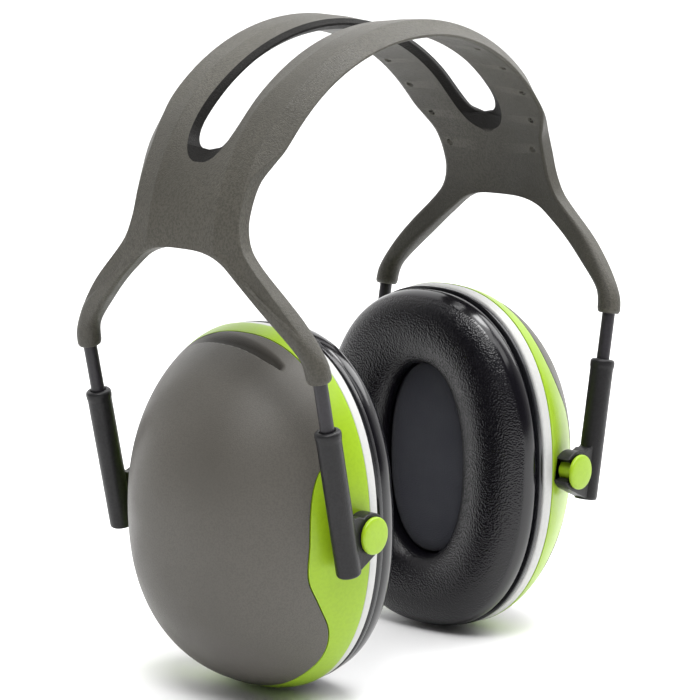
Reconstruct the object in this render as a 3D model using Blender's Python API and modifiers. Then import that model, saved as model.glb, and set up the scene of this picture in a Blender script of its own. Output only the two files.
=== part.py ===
"""Earmuff hearing protector.

A moulded headband has a long slot over the crown and splits into two legs on each side. A coated
spring wire leaves each leg end, a slider moves along each wire, and the two sliders of one side
hook onto the pivot studs of that side's ear cup. The cup is a hard shell with a cover outside, and
a spacer ring, cushion plate, cushion and foam liner on the side of the head.

Origin: under the middle of the crown, where the band rests on the head. +Z up, +X towards the
wearer's left ear, -Y forwards. Metres.
"""
import math

import bmesh
import bpy
from mathutils import Matrix, Vector

MM = 0.001
OBJECT_NAME = "earmuff_hearing_protector"
SIDES = {"left": 1, "right": -1}
ENDS = {"front": -1, "rear": 1}
GAP = 0.3 * MM

# The band in side view: a quarter ellipse over the crown, then a straight run along the wire.
SPINE_HALF_SPAN = 68.8 * MM
SPINE_HEIGHT = 59.0 * MM
SPINE_DEPTH = 2.4 * MM            # from the spine to the underside that rests on the head
WIRE_LEAN = math.radians(11.5)    # the wires run inwards by this much towards the bottom
LEG_END_Z = -83.8 * MM

# The band in plan, by distance along the spine from the crown.
HALF_WIDTH = [(0, 27.0), (24, 26.0), (42, 25.4), (58, 24.9), (66, 24.2), (71, 22.2), (76, 20.0),
              (84, 19.2), (90, 19.6), (96, 22.2), (108, 34.2), (118, 42.1), (123, 44.9), (130, 45.65)]
LEG_WIDTH = [(90, 11.0), (108, 9.0), (118, 7.1), (124, 6.6), (130, 6.6)]
SLOT_HALF_WIDTH = 7.3 * MM
SLOT_END = 69.4 * MM
SLOT_END_LENGTH = 8.0 * MM
CROTCH = 96.1 * MM
CROTCH_LENGTH = 5.0 * MM
ROD_START = 94.0 * MM             # here the flat band starts to turn into a round leg
ROD_FULL = 116.0 * MM
LEG_RADIUS = 3.3 * MM
LEG_ROUNDING = 1.2 * MM
LEG_END_SHRINK = 0.45             # how far the leg's round end draws in

# Heights of the band's outer surface over the spine, by the same distance. Two creases run along
# each bar: an inner one beside the slot, and an outer one where the wing slopes down to its edge.
OUTER_CREASE = [(0, 21.0), (54, 21.0), (62, 20.0), (70, 19.0), (84, 18.8), (90, 19.1), (96, 20.8)]
INNER_CREASE = [(0, 14.5), (43, 14.0), (54, 12.6), (63, 12.1), (90, 11.9), (96, 12.2)]
INNER_CREASE_RISE = [(0, 2.0), (24, 2.2), (43, 2.8), (54, 3.3), (90, 3.4), (100, 3.0)]
EDGE_RISE = [(0, -1.5), (40, -1.6), (58, -1.8), (66, -1.4), (71, 0.1), (76, 1.7), (88, 2.1), (116, 1.6)]
OUTER_CREASE_RISE = 2.35 * MM
SLOT_LIP_RISE = 1.6 * MM
EDGE_UNDERSIDE = -2.1 * MM        # the underside at a bar's outer edge

# Wires and sliders.
ARM_Y = 42.35 * MM
WIRE_RADIUS = 1.9 * MM
WIRE_IN_LEG = 26.0 * MM
WIRE_BOTTOM_Z = -121.8 * MM
SLIDER_TOP_Z = -97.0 * MM
SLIDER_BOTTOM_Z = -137.7 * MM
SLIDER_RADIUS = 3.4 * MM
SLIDER_LIP = 0.2 * MM
SLIDER_LIP_LENGTH = 2.0 * MM
BORE_RADIUS = 2.2 * MM
HOOK_FOOT = 7.8 * MM              # the hook's web meets the tube from this far below the pivot
HOOK_SHOULDER = 7.4 * MM          # to this far above it
HOOK_WEB = 2.6 * MM               # where the web's slanted edges leave the tube
BORE_BOTTOM = 3.2 * MM            # solid end of the slider below its bore

# Pivots: the hook on each slider clips round the neck of a stud in the cup shell.
PIVOT_Z = -127.8 * MM
PIVOT_FROM_WIRE = 8.7 * MM
HOOK_Y = (39.9 * MM, 44.6 * MM)
HOOK_RADIUS = 6.0 * MM
NECK_RADIUS = 3.0 * MM
HOOK_MOUTH = 4.6 * MM
STUD_HEAD_RADIUS = 5.1 * MM
STUD_HEAD_Y = (44.9 * MM, 46.3 * MM)
STUD_ROOT_RADIUS = 2.4 * MM
STUD_ROOT_Y = 33.0 * MM
STUD_SHOULDER_Y = 39.4 * MM

# Ear cups. "Out" is the distance outwards from the pivot axis, along the cup's own axis.
CUP_LEAN = math.radians(0.7)      # the cups' tops lean outwards by this much
CUP_HALF_WIDTH = 39.6 * MM
CUP_HALF_HEIGHT = 51.4 * MM
CUP_SQUARENESS = 2.26             # exponent of the oval outline, 2 is an ellipse
SHELL_RIM_OUT = -5.2 * MM
DOME_DEPTH = 35.3 * MM
DOME_SHARE_POWER = 2.44           # share ** 2.44 + rise ** 1.45 = 1 is the dome's profile
DOME_RISE_POWER = 1.45
DOME_DROOP = 1.6 * MM             # the dome's crown sits this much below the middle of its rim
COVER_THICKNESS = 2.0 * MM
SHELL_THICKNESS = 2.4 * MM
RING_BACK_OUT = -9.8 * MM
RING_WALL = 9.0 * MM
PLATE_BACK_OUT = -12.2 * MM
PLATE_WALL = 18.0 * MM
PLATE_INSET = 0.8 * MM            # the plate's lip stands this far inside the cup's outline
CUSHION_DEPTH = 9.7 * MM
CUSHION_INSET = 1.0 * MM          # of the cushion's foot from the cup's outline
CUSHION_FACE_INSET = 8.5 * MM     # of the contact face from the cushion's foot and from its opening
CUSHION_SKIN = 1.2 * MM
OPENING_HALF_WIDTH = 15.0 * MM
OPENING_HALF_HEIGHT = 29.0 * MM
LINER_FACE_OUT = -12.6 * MM
LINER_BACK_OUT = 8.0 * MM
LINER_INSET = 12.0 * MM           # of the liner's widest part from the cup's outline
COVER_EDGE = [(-58, 3.2), (-44, 3.0), (-36, 2.2), (-28, 4.0), (-20, 8.4), (-12, 12.1), (-2, 12.1),
              (8, 11.4), (15, 9.4), (22, 5.0), (32, 1.2), (44, 0.2), (58, 0.0)]   # height, out

OUTLINE_STEPS = 28

COLOURS = {
    "band_grey": ((0.075, 0.072, 0.062, 1), 0.62, 0.0),
    "wire_grey": ((0.035, 0.030, 0.038, 1), 0.45, 0.0),
    "slider_grey": ((0.040, 0.038, 0.040, 1), 0.50, 0.0),
    "cover_grey": ((0.115, 0.105, 0.092, 1), 0.58, 0.0),
    "lime": ((0.36, 0.62, 0.02, 1), 0.38, 0.0),
    "white": ((0.78, 0.78, 0.76, 1), 0.45, 0.0),
    "plate_black": ((0.012, 0.012, 0.015, 1), 0.25, 0.0),
    "leatherette": ((0.014, 0.014, 0.018, 1), 0.42, 0.0),
    "foam": ((0.030, 0.031, 0.045, 1), 0.90, 0.0),
}


# ---------------------------------------------------------------- scene and materials

def clear_scene():
    for item in list(bpy.data.objects):
        bpy.data.objects.remove(item, do_unlink=True)


def make_collection(name):
    collection = bpy.data.collections.get(name) or bpy.data.collections.new(name)
    if collection.name not in bpy.context.scene.collection.children:
        bpy.context.scene.collection.children.link(collection)
    return collection


def material(name):
    found = bpy.data.materials.get(name)
    if found:
        return found
    colour, roughness, metallic = COLOURS[name]
    made = bpy.data.materials.new(name)
    made.use_nodes = True
    shader = made.node_tree.nodes["Principled BSDF"]
    shader.inputs["Base Color"].default_value = colour
    shader.inputs["Roughness"].default_value = roughness
    shader.inputs["Metallic"].default_value = metallic
    return made


def object_from(name, bm, collection, colour=None):
    """A new object from a bmesh, with its faces pointing out."""
    bmesh.ops.recalc_face_normals(bm, faces=bm.faces)
    mesh = bpy.data.meshes.new(name)
    bm.to_mesh(mesh)
    bm.free()
    made = bpy.data.objects.new(name, mesh)
    collection.objects.link(made)
    if colour:
        mesh.materials.append(material(colour))
    return made


def as_cutter(item):
    item.hide_render = True
    item.display_type = "WIRE"
    return item


def boolean(target, operation, tool):
    step = target.modifiers.new(operation.lower() + "_" + tool.name, "BOOLEAN")
    step.operation = operation
    step.solver = "EXACT"
    step.object = tool


def applied(item):
    """Replace an object's mesh by its evaluated one and drop its modifiers."""
    graph = bpy.context.evaluated_depsgraph_get()
    mesh = bpy.data.meshes.new_from_object(item.evaluated_get(graph))
    item.modifiers.clear()
    item.data = mesh
    return item


def smooth(item, angle=35):
    item.data.shade_smooth()
    item.data.set_sharp_from_angle(angle=math.radians(angle))


# ---------------------------------------------------------------- curves and interpolation

def eased(table, x):
    """Smooth curve through a table of (x, y) pairs, flat beyond its ends."""
    if x <= table[0][0]:
        return table[0][1]
    for (x0, y0), (x1, y1) in zip(table, table[1:]):
        if x <= x1:
            i = table.index((x0, y0))
            before = table[max(i - 1, 0)]
            after = table[min(i + 2, len(table) - 1)]
            slope0 = (y1 - before[1]) / (x1 - before[0])
            slope1 = (after[1] - y0) / (after[0] - x0)
            span = x1 - x0
            t = (x - x0) / span
            return ((2 * t ** 3 - 3 * t ** 2 + 1) * y0 + (t ** 3 - 2 * t ** 2 + t) * span * slope0
                    + (3 * t ** 2 - 2 * t ** 3) * y1 + (t ** 3 - t ** 2) * span * slope1)
    return table[-1][1]


def smoothstep(low, high, x):
    t = min(max((x - low) / (high - low), 0.0), 1.0)
    return t * t * (3 - 2 * t)


def spine_samples():
    """Points (distance, x, z) down the +X side of the band, close enough to read straight between."""
    centre_z = SPINE_DEPTH - SPINE_HEIGHT
    slope = math.tan(WIRE_LEAN)
    last_angle = math.pi / 2 + math.atan(slope * SPINE_HEIGHT / SPINE_HALF_SPAN)
    count = 200
    points = [(SPINE_HALF_SPAN * math.sin(last_angle * i / count),
               centre_z + SPINE_HEIGHT * math.cos(last_angle * i / count)) for i in range(count + 1)]
    x, z = points[-1]
    points.append((x - slope * (z - WIRE_BOTTOM_Z), WIRE_BOTTOM_Z))
    samples = [(0.0, *points[0])]
    for (x0, z0), (x1, z1) in zip(points, points[1:]):
        samples.append((samples[-1][0] + math.hypot(x1 - x0, z1 - z0), x1, z1))
    return samples


SPINE = spine_samples()


def spine_point(distance):
    """Point and outward direction of the spine at a distance from the crown, as (x, z) pairs."""
    for (d0, x0, z0), (d1, x1, z1) in zip(SPINE, SPINE[1:]):
        if distance <= d1:
            break
    t = (distance - d0) / (d1 - d0)
    length = d1 - d0
    return (x0 + t * (x1 - x0), z0 + t * (z1 - z0)), (-(z1 - z0) / length, (x1 - x0) / length)


def spine_distance_at(z):
    """Distance along the spine's straight end at a height."""
    d1, _, z1 = SPINE[-1]
    return d1 - (z - z1) / math.cos(WIRE_LEAN)


def wire_x(z):
    (x, _), _ = spine_point(spine_distance_at(z))
    return x


PIVOT_FOOT_Z = PIVOT_Z - PIVOT_FROM_WIRE * math.sin(WIRE_LEAN)    # on the wire, level with the pivot
PIVOT_X = wire_x(PIVOT_FOOT_Z) - PIVOT_FROM_WIRE * math.cos(WIRE_LEAN)


# ---------------------------------------------------------------- headband

def half_width(distance):
    return eased(HALF_WIDTH, distance / MM) * MM


def leg_width(distance):
    return eased(LEG_WIDTH, distance / MM) * MM


def inner_edge(distance):
    """Inner edge of the rail: the slot, then past the middle of the panel, then the leg's inside."""
    if distance < SLOT_END - SLOT_END_LENGTH:
        return SLOT_HALF_WIDTH
    if distance < SLOT_END:
        t = (distance - SLOT_END + SLOT_END_LENGTH) / SLOT_END_LENGTH
        return SLOT_HALF_WIDTH * (1 - t ** 3) ** (1 / 3)
    if distance <= CROTCH:
        return -1.0 * MM
    t = min((distance - CROTCH) / CROTCH_LENGTH, 1.0)
    return (half_width(distance) - leg_width(distance)) * (1 - (1 - t) ** 3) ** (1 / 3)


def bar_section(distance, low, high):
    """Flat section of the band between two edges, as (y, out) pairs from the inner edge round."""
    outer = min(eased(OUTER_CREASE, distance / MM) * MM, high - 0.4 * MM)
    inner = max(min(eased(INNER_CREASE, distance / MM) * MM, outer - MM), low + (outer - low) * 0.35)
    middle = (low + inner) / 2
    rise = eased(INNER_CREASE_RISE, distance / MM) * MM
    edge_rise = eased(EDGE_RISE, distance / MM) * MM
    return [(low, -1.2 * MM), (middle, -1.4 * MM), (inner, -1.6 * MM), (high - MM, -2.4 * MM),
            (high, EDGE_UNDERSIDE), (high, edge_rise), (outer, OUTER_CREASE_RISE),
            (inner, rise), (middle, (rise + SLOT_LIP_RISE) / 2), (low + 0.5 * MM, SLOT_LIP_RISE),
            (low, SLOT_LIP_RISE - 0.5 * MM)]


ROD_ANGLES = (-150, -120, -90, -60, -30, 0, 30, 75, 105, 135, 165)


def rod_section(low, high, shrink):
    """Round section of a leg with as many points as the bar's section, in the same order."""
    centre = (low + high) / 2
    reach = (high - low) / 2
    return [(centre + reach * shrink * math.cos(math.radians(a)),
             LEG_RADIUS * shrink * math.sin(math.radians(a))) for a in ROD_ANGLES]


def headband_stations():
    """Distances along the spine at which the band's section is drawn."""
    slot_start = SLOT_END - SLOT_END_LENGTH
    places = [-1.0 * MM] + [slot_start * i / 8 for i in range(1, 9)]
    places += [slot_start + SLOT_END_LENGTH * share for share in (0.38, 0.71, 0.92, 0.985)]
    places += [SLOT_END + (CROTCH - SLOT_END) * i / 3 for i in range(0, 4)]
    places += [CROTCH + CROTCH_LENGTH * share for share in (0.015, 0.08, 0.29, 0.62, 1.0)]
    leg_start = CROTCH + CROTCH_LENGTH
    leg_end = spine_distance_at(LEG_END_Z) - LEG_ROUNDING
    places += [leg_start + (leg_end - leg_start) * i / 7 for i in range(1, 8)]
    return places


def station_ring(distance, shrink=1.0):
    low, high = inner_edge(distance), half_width(distance)
    share = smoothstep(ROD_START, ROD_FULL, distance)
    (x, z), (nx, nz) = spine_point(max(distance, 0.0))
    if distance < 0:
        x = distance
    ring = []
    for (y0, out0), (y1, out1) in zip(bar_section(distance, low, high), rod_section(low, high, shrink)):
        y, out = y0 + share * (y1 - y0), out0 + share * (out1 - out0)
        ring.append(Vector((x + nx * out, y, z + nz * out)))
    return ring


def loft(bm, rings, capped=True):
    """Faces between rings of the same count, with flat ends."""
    rows = [[bm.verts.new(p) for p in ring] for ring in rings]
    count = len(rows[0])
    for low, high in zip(rows, rows[1:]):
        for i in range(count):
            j = (i + 1) % count
            bm.faces.new((low[i], low[j], high[j], high[i]))
    if capped:
        bm.faces.new(rows[0][::-1])
        bm.faces.new(rows[-1])


def headband(collection, cutters):
    rings = [station_ring(d) for d in headband_stations()]
    leg_end = spine_distance_at(LEG_END_Z)
    for share in (0.45, 0.8, 1.0):
        shrink = math.sqrt(1 - (LEG_END_SHRINK * share) ** 2)
        rings.append(station_ring(leg_end - LEG_ROUNDING * (1 - share), shrink))
    bm = bmesh.new()
    loft(bm, rings)
    band = object_from("headband", bm, collection, "band_grey")
    mirror = band.modifiers.new("mirror", "MIRROR")
    mirror.use_axis = (True, True, False)
    mirror.use_bisect_axis = (True, True, False)
    mirror.merge_threshold = 0.00005
    for side, sx in SIDES.items():
        for end, sy in ENDS.items():
            socket = wire_curve(f"socket_{end}_{side}", sx, sy, WIRE_RADIUS + GAP, cutters, GAP)
            boolean(band, "DIFFERENCE", as_cutter(socket))
    smooth(band, 40)
    return band


# ---------------------------------------------------------------- wires and sliders

def leg_centre(distance):
    return (inner_edge(distance) + half_width(distance)) / 2


def wire_curve(name, sx, sy, radius, collection, extra=0.0):
    """A round rod from inside the leg, along the leg's centre and down the straight run."""
    leg_end = spine_distance_at(LEG_END_Z)
    start = leg_end - WIRE_IN_LEG - extra
    places = [start + (leg_end - start) * i / 7 for i in range(8)] + [SPINE[-1][0]]
    curve = bpy.data.curves.new(name, "CURVE")
    curve.dimensions = "3D"
    curve.bevel_depth = radius
    curve.bevel_resolution = 2
    curve.use_fill_caps = True
    spline = curve.splines.new("POLY")
    spline.points.add(len(places) - 1)
    for point, distance in zip(spline.points, places):
        (x, z), _ = spine_point(distance)
        y = ARM_Y if distance > leg_end - 4.0 * MM else leg_centre(distance)
        point.co = (sx * x, sy * y, z, 1.0)
    rod = bpy.data.objects.new(name, curve)
    collection.objects.link(rod)
    return welded(rod, collection)


def welded(rod, collection):
    """The mesh of a curve object with its caps joined on."""
    graph = bpy.context.evaluated_depsgraph_get()
    mesh = bpy.data.meshes.new_from_object(rod.evaluated_get(graph))
    bm = bmesh.new()
    bm.from_mesh(mesh)
    bmesh.ops.remove_doubles(bm, verts=bm.verts, dist=0.00001)
    name, place = rod.name, rod.matrix_world.copy()
    bpy.data.objects.remove(rod, do_unlink=True)
    made = object_from(name, bm, collection)
    made.matrix_world = place
    return made


def spring_wires(collection):
    for side, sx in SIDES.items():
        for end, sy in ENDS.items():
            wire = wire_curve(f"spring_wire_{end}_{side}", sx, sy, WIRE_RADIUS, collection)
            wire.data.materials.append(material("wire_grey"))
            smooth(wire)


def cylinder(name, radius, low, high, axis, centre, collection, segments=20):
    """A cylinder from low to high along "Z" or "Y", through a centre point."""
    bm = bmesh.new()
    bmesh.ops.create_cone(bm, cap_ends=True, segments=segments, radius1=radius, radius2=radius,
                          depth=high - low)
    bmesh.ops.translate(bm, verts=bm.verts, vec=(0, 0, (low + high) / 2))
    if axis == "Y":
        bmesh.ops.rotate(bm, verts=bm.verts, matrix=Matrix.Rotation(-math.pi / 2, 3, "X"))
    bmesh.ops.translate(bm, verts=bm.verts, vec=centre)
    return object_from(name, bm, collection)


def prism(name, outline, low, high, collection):
    """An (x, z) outline extruded along Y from low to high."""
    bm = bmesh.new()
    loft(bm, [[Vector((x, y, z)) for x, z in outline] for y in (low, high)])
    return object_from(name, bm, collection)


def hook_outline():
    """Side view of the hook in the slider's own frame: wire along Z, pivot at (-PIVOT_FROM_WIRE, 0)."""
    eye = [(-PIVOT_FROM_WIRE + HOOK_RADIUS * math.cos(math.radians(a)),
            HOOK_RADIUS * math.sin(math.radians(a))) for a in range(90, 241, 25)]
    slant = [(-HOOK_WEB, -HOOK_FOOT), (0.0, -HOOK_FOOT), (0.0, HOOK_SHOULDER),
             (-HOOK_WEB, HOOK_SHOULDER - 0.4 * MM)]
    return eye + slant


def slider_model(collection, cutters):
    """The front left slider, drawn with its wire along Z and its pivot level with the origin."""
    top = (SLIDER_TOP_Z - PIVOT_FOOT_Z) / math.cos(WIRE_LEAN)
    bottom = (SLIDER_BOTTOM_Z - PIVOT_FOOT_Z) / math.cos(WIRE_LEAN)
    bm = bmesh.new()
    profile = [(0.0, bottom), (SLIDER_RADIUS - 0.5 * MM, bottom), (SLIDER_RADIUS, bottom + 0.5 * MM),
               (SLIDER_RADIUS, top - SLIDER_LIP_LENGTH),
               (SLIDER_RADIUS + SLIDER_LIP, top - SLIDER_LIP_LENGTH + 0.5 * MM),
               (SLIDER_RADIUS + SLIDER_LIP, top - 0.5 * MM), (SLIDER_RADIUS - 0.1 * MM, top)]
    ring_count = 20
    rings = []
    for radius, z in profile[1:]:
        rings.append([Vector((radius * math.cos(math.tau * i / ring_count),
                              radius * math.sin(math.tau * i / ring_count), z)) for i in range(ring_count)])
    loft(bm, rings)
    slider = object_from("slider", bm, collection, "slider_grey")
    hook_low, hook_high = (-y + ARM_Y for y in reversed(HOOK_Y))
    hook = prism("hook_blank", hook_outline(), hook_low, hook_high, cutters)
    boolean(slider, "UNION", as_cutter(hook))
    neck = cylinder("neck_hole", NECK_RADIUS + GAP, hook_low - MM, hook_high + MM, "Y",
                    (-PIVOT_FROM_WIRE, 0, 0), cutters)
    boolean(slider, "DIFFERENCE", as_cutter(neck))
    mouth = prism("hook_mouth", [(-PIVOT_FROM_WIRE, -HOOK_MOUTH / 2), (-PIVOT_FROM_WIRE, HOOK_MOUTH / 2),
                                 (-PIVOT_FROM_WIRE - 10 * MM, HOOK_MOUTH / 2 + MM),
                                 (-PIVOT_FROM_WIRE - 10 * MM, -HOOK_MOUTH / 2 - MM)],
                  hook_low - MM, hook_high + MM, cutters)
    boolean(slider, "DIFFERENCE", as_cutter(mouth))
    bore = cylinder("bore", BORE_RADIUS, bottom + BORE_BOTTOM, top + MM, "Z", (0, 0, 0), cutters, 16)
    boolean(slider, "DIFFERENCE", as_cutter(bore))
    return applied(slider)


def reflected(mesh, name, sx, sy):
    """A copy of a mesh turned over in X or Y, with its faces still pointing out."""
    bm = bmesh.new()
    bm.from_mesh(mesh)
    for vert in bm.verts:
        vert.co = Vector((vert.co.x * sx, vert.co.y * sy, vert.co.z))
    if sx * sy < 0:
        bmesh.ops.reverse_faces(bm, faces=bm.faces)
    made = bpy.data.meshes.new(name)
    bm.to_mesh(made)
    bm.free()
    for slot in mesh.materials:
        made.materials.append(slot)
    return made


def slider_place(sx, sy):
    """The slider frame in the world: its origin level with the pivot, its Z along the wire."""
    turn = Matrix.Rotation(sx * WIRE_LEAN, 4, "Y")
    return Matrix.Translation((sx * wire_x(PIVOT_FOOT_Z), sy * ARM_Y, PIVOT_FOOT_Z)) @ turn


def guide(name, place, collection):
    empty = bpy.data.objects.new(name, None)
    empty.empty_display_size = 0.01
    empty.matrix_world = place
    collection.objects.link(empty)
    return empty


def sliders(collection, cutters):
    model = slider_model(collection, cutters)
    for side, sx in SIDES.items():
        for end, sy in ENDS.items():
            name = f"slider_{end}_{side}"
            made = bpy.data.objects.new(name, reflected(model.data, name, sx, -sy))
            collection.objects.link(made)
            made.parent = guide(f"slide_axis_{end}_{side}", slider_place(sx, sy), collection)
            smooth(made)
    bpy.data.objects.remove(model, do_unlink=True)


# ---------------------------------------------------------------- ear cups

def oval(out, inset=0.0, half_width=None, half_height=None, drop=0.0):
    """Ring of points on the cup's outline at a distance out, drawn in by inset."""
    a = (half_width or CUP_HALF_WIDTH) - inset
    b = (half_height or CUP_HALF_HEIGHT) - inset
    ring = []
    for i in range(OUTLINE_STEPS):
        angle = math.tau * i / OUTLINE_STEPS
        c, s = math.cos(angle), math.sin(angle)
        across = math.copysign(abs(c) ** (2 / CUP_SQUARENESS), c)
        up = math.copysign(abs(s) ** (2 / CUP_SQUARENESS), s)
        ring.append(Vector((out, a * across, b * up - drop)))
    return ring


def dome_rings(inset, steps=7):
    """Rings of a dome that lies inset from the cup's outer surface, closer together near its rim."""
    depth = DOME_DEPTH - inset
    rings = []
    for i in range(steps):
        share = 1 - (i / steps) ** 2
        rise = (1 - share ** DOME_SHARE_POWER) ** (1 / DOME_RISE_POWER)
        wide = (CUP_HALF_WIDTH - inset) * share
        high = (CUP_HALF_HEIGHT - inset) * share
        rings.append(oval(SHELL_RIM_OUT + depth * rise, 0.0, wide, high, DOME_DROOP * rise))
    return rings, SHELL_RIM_OUT + depth


def dome(name, inset, collection, below=0.0):
    """A solid dome: rings up from the rim, closed by a point at the top and a flat base."""
    rings, top = dome_rings(inset)
    if below:
        rings.insert(0, [p - Vector((below, 0, 0)) for p in rings[0]])
    bm = bmesh.new()
    rows = [[bm.verts.new(p) for p in ring] for ring in rings]
    tip = bm.verts.new((top, 0, -DOME_DROOP))
    for low, high in zip(rows, rows[1:]):
        for i in range(OUTLINE_STEPS):
            j = (i + 1) % OUTLINE_STEPS
            bm.faces.new((low[i], low[j], high[j], high[i]))
    for i in range(OUTLINE_STEPS):
        bm.faces.new((rows[-1][i], rows[-1][(i + 1) % OUTLINE_STEPS], tip))
    bm.faces.new(rows[0][::-1])
    return object_from(name, bm, collection)


def band_block(name, shift, outer, collection):
    """The space on the inner or outer side of the line where the cover ends."""
    steps = 24
    low, high = COVER_EDGE[0][0], COVER_EDGE[-1][0]
    edge = []
    for i in range(steps + 1):
        height = low + (high - low) * i / steps
        edge.append((eased(COVER_EDGE, height) * MM + shift, height * MM))
    far = (60 if outer else -60) * MM
    outline = edge + [(far, high * MM), (far, low * MM)]
    reach = 60 * MM
    return prism(name, outline, -reach, reach, collection)


def closed_band(rings):
    """A bmesh ring solid: the first and the last ring of its profile meet."""
    bm = bmesh.new()
    loft(bm, rings, capped=False)
    rows = len(rings)
    bm.verts.ensure_lookup_table()
    for i in range(OUTLINE_STEPS):
        j = (i + 1) % OUTLINE_STEPS
        last = (rows - 1) * OUTLINE_STEPS
        bm.faces.new((bm.verts[last + i], bm.verts[last + j], bm.verts[j], bm.verts[i]))
    return bm


def cup_cover(collection, cutters):
    cover = dome("cup_cover", 0.0, collection)
    cover.data.materials.append(material("cover_grey"))
    boolean(cover, "DIFFERENCE", as_cutter(dome("cover_hollow", COVER_THICKNESS, cutters, 2 * MM)))
    boolean(cover, "DIFFERENCE", as_cutter(band_block("cover_trim", GAP, False, cutters)))
    return applied(cover)


def cup_shell(collection, cutters):
    shell = dome("cup_shell", 0.0, collection)
    shell.data.materials.append(material("lime"))
    boolean(shell, "DIFFERENCE", as_cutter(band_block("shell_trim", 0.0, True, cutters)))
    boolean(shell, "UNION", as_cutter(dome("shell_core", COVER_THICKNESS + GAP, cutters)))
    hollow = dome("shell_hollow", COVER_THICKNESS + GAP + SHELL_THICKNESS, cutters, 2 * MM)
    boolean(shell, "DIFFERENCE", as_cutter(hollow))
    for end, sy in ENDS.items():
        low, high = sorted((sy * (STUD_ROOT_Y - 3 * MM), sy * (CUP_HALF_WIDTH + 3 * MM)))
        hole = cylinder(f"stud_hole_{end}", STUD_ROOT_RADIUS + GAP, low, high, "Y", (0, 0, 0), cutters, 12)
        boolean(shell, "DIFFERENCE", as_cutter(hole))
    return applied(shell)


def spacer_ring(collection):
    front, back = SHELL_RIM_OUT - GAP, RING_BACK_OUT
    rings = [oval(front, RING_WALL), oval(front, 0.0), oval(back + 0.8 * MM, 0.3 * MM),
             oval(back, 0.9 * MM), oval(back, RING_WALL)]
    return object_from("spacer_ring", closed_band(rings), collection, "white")


def cushion_plate(collection):
    front, back = RING_BACK_OUT - GAP, PLATE_BACK_OUT
    rings = [oval(front, PLATE_WALL), oval(front, 2 * PLATE_INSET), oval(front - 0.6 * MM, PLATE_INSET),
             oval(back, PLATE_INSET), oval(back, PLATE_WALL)]
    return object_from("cushion_plate", closed_band(rings), collection, "plate_black")


def opening(out, grow=0.0):
    return oval(out, 0.0, OPENING_HALF_WIDTH + grow, OPENING_HALF_HEIGHT + grow)


def cushion_profile(shrink):
    """Rings of the cushion from its outer back edge round to its opening, drawn in by shrink."""
    back = PLATE_BACK_OUT - GAP
    face = back - CUSHION_DEPTH + shrink
    return [oval(back, CUSHION_INSET + shrink), oval(back - 5.0 * MM + shrink / 2, 1.2 * MM + shrink),
            oval(face + 1.3 * MM, 4.0 * MM + shrink), oval(face, CUSHION_FACE_INSET + shrink / 2),
            opening(face, CUSHION_FACE_INSET + shrink / 2), opening(face + 1.0 * MM, 4.5 * MM + shrink),
            opening(face + 3.6 * MM, 1.6 * MM + shrink), opening(back, shrink)]


def cushion_cover(collection):
    """A thin skin over the foam ring, open at the back where it lies on the plate."""
    rings = cushion_profile(0.0) + cushion_profile(CUSHION_SKIN)[::-1]
    return object_from("cushion_cover", closed_band(rings), collection, "leatherette")


def cushion_foam(collection):
    rings = cushion_profile(CUSHION_SKIN + GAP)
    return object_from("cushion_foam", closed_band(rings), collection, "foam")


def foam_liner(collection):
    """The foam that fills the cup behind the cushion's opening."""
    bm = bmesh.new()
    rings = [opening(LINER_FACE_OUT, -2 * GAP), opening(LINER_FACE_OUT + MM, -GAP),
             opening(RING_BACK_OUT + 0.5 * MM, -GAP), oval(RING_BACK_OUT + MM, LINER_INSET),
             oval(SHELL_RIM_OUT, LINER_INSET - MM), oval(LINER_BACK_OUT, LINER_INSET + 3 * MM)]
    loft(bm, rings)
    return object_from("foam_liner", bm, collection, "foam")


def pivot_stud(collection):
    """A turned stud along Y: root in the shell, neck in the slider's hook, flat round head."""
    head_low, head_high = STUD_HEAD_Y
    profile = [(STUD_ROOT_RADIUS, STUD_ROOT_Y), (STUD_ROOT_RADIUS, STUD_SHOULDER_Y),
               (NECK_RADIUS, STUD_SHOULDER_Y), (NECK_RADIUS, head_low), (STUD_HEAD_RADIUS, head_low),
               (STUD_HEAD_RADIUS, head_high - 0.4 * MM), (STUD_HEAD_RADIUS - 0.4 * MM, head_high)]
    count = 20
    rings = [[Vector((r * math.cos(math.tau * i / count), y, r * math.sin(math.tau * i / count)))
              for i in range(count)] for r, y in profile]
    bm = bmesh.new()
    loft(bm, rings)
    return object_from("pivot_stud", bm, collection, "lime")


def place_copy(model, name, sx, sy, parent, collection):
    made = bpy.data.objects.new(name, reflected(model.data, name, sx, sy))
    collection.objects.link(made)
    made.parent = parent
    smooth(made)


def ear_cups(collection, cutters):
    models = [cup_cover(collection, cutters), cup_shell(collection, cutters), spacer_ring(collection),
              cushion_plate(collection), cushion_cover(collection), cushion_foam(collection),
              foam_liner(collection)]
    stud = pivot_stud(collection)
    for side, sx in SIDES.items():
        place = Matrix.Translation((sx * PIVOT_X, 0, PIVOT_Z))
        axis = guide(f"cup_axis_{side}", place @ Matrix.Rotation(sx * CUP_LEAN, 4, "Y"), collection)
        for model in models:
            place_copy(model, f"{model.name}_{side}", sx, 1, axis, collection)
        for end, sy in ENDS.items():
            place_copy(stud, f"pivot_stud_{end}_{side}", sx, sy, axis, collection)
    for model in models + [stud]:
        bpy.data.objects.remove(model, do_unlink=True)


def main():
    clear_scene()
    parts = make_collection(OBJECT_NAME)
    cutters = make_collection("cutters")
    headband(parts, cutters)
    spring_wires(parts)
    sliders(parts, cutters)
    ear_cups(parts, cutters)
    bpy.context.view_layer.update()


main()
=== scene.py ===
"""Finished look of the earmuff hearing protector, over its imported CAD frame.

Every CAD node is replaced by a finer piece of the same size and place. Metres, +Z up, +X towards
the wearer's left ear, -Y forwards.
"""
import math

import bmesh
import bpy
from mathutils import Matrix, Vector


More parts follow.
